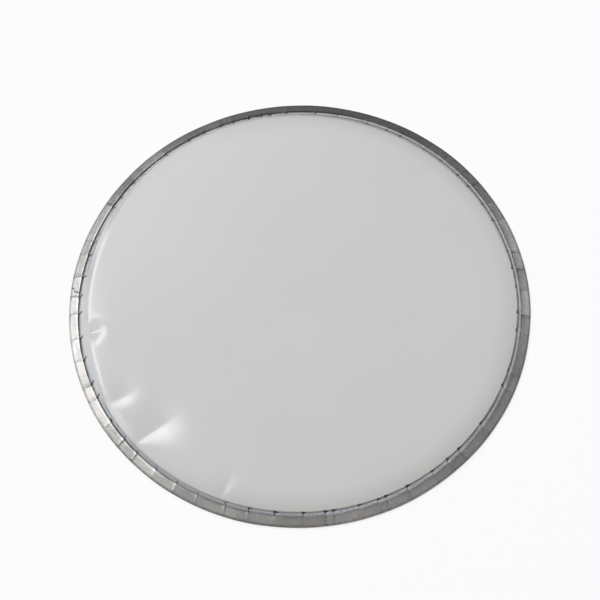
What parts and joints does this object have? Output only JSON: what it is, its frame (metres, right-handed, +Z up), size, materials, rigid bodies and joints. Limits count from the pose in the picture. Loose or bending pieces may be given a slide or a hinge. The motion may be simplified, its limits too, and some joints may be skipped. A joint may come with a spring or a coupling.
{
  "type": "drum head",
  "caption": "Drum head with a milky plastic film drawn into a low collar, its hem turned round a core wire and held in a crimped aluminium channel hoop.",
  "frame": {"origin": "on the head's axis, in the plane that the hoop rests on", "axes": "+Z up along the head's axis, out of the playing surface; +X to the right and +Y away from the camera of the reference picture"},
  "size_m": [0.32, 0.32, 0.0066],
  "materials": {
    "film": "milky satin polyester film",
    "hoop": "mill finish, marked by the crimping press",
    "wire": "drawn bright wire"
  },
  "bodies": {
    "root": {"film": "film", "channel_hoop": "hoop", "core_wire": "wire"}
  },
  "joints": []
}
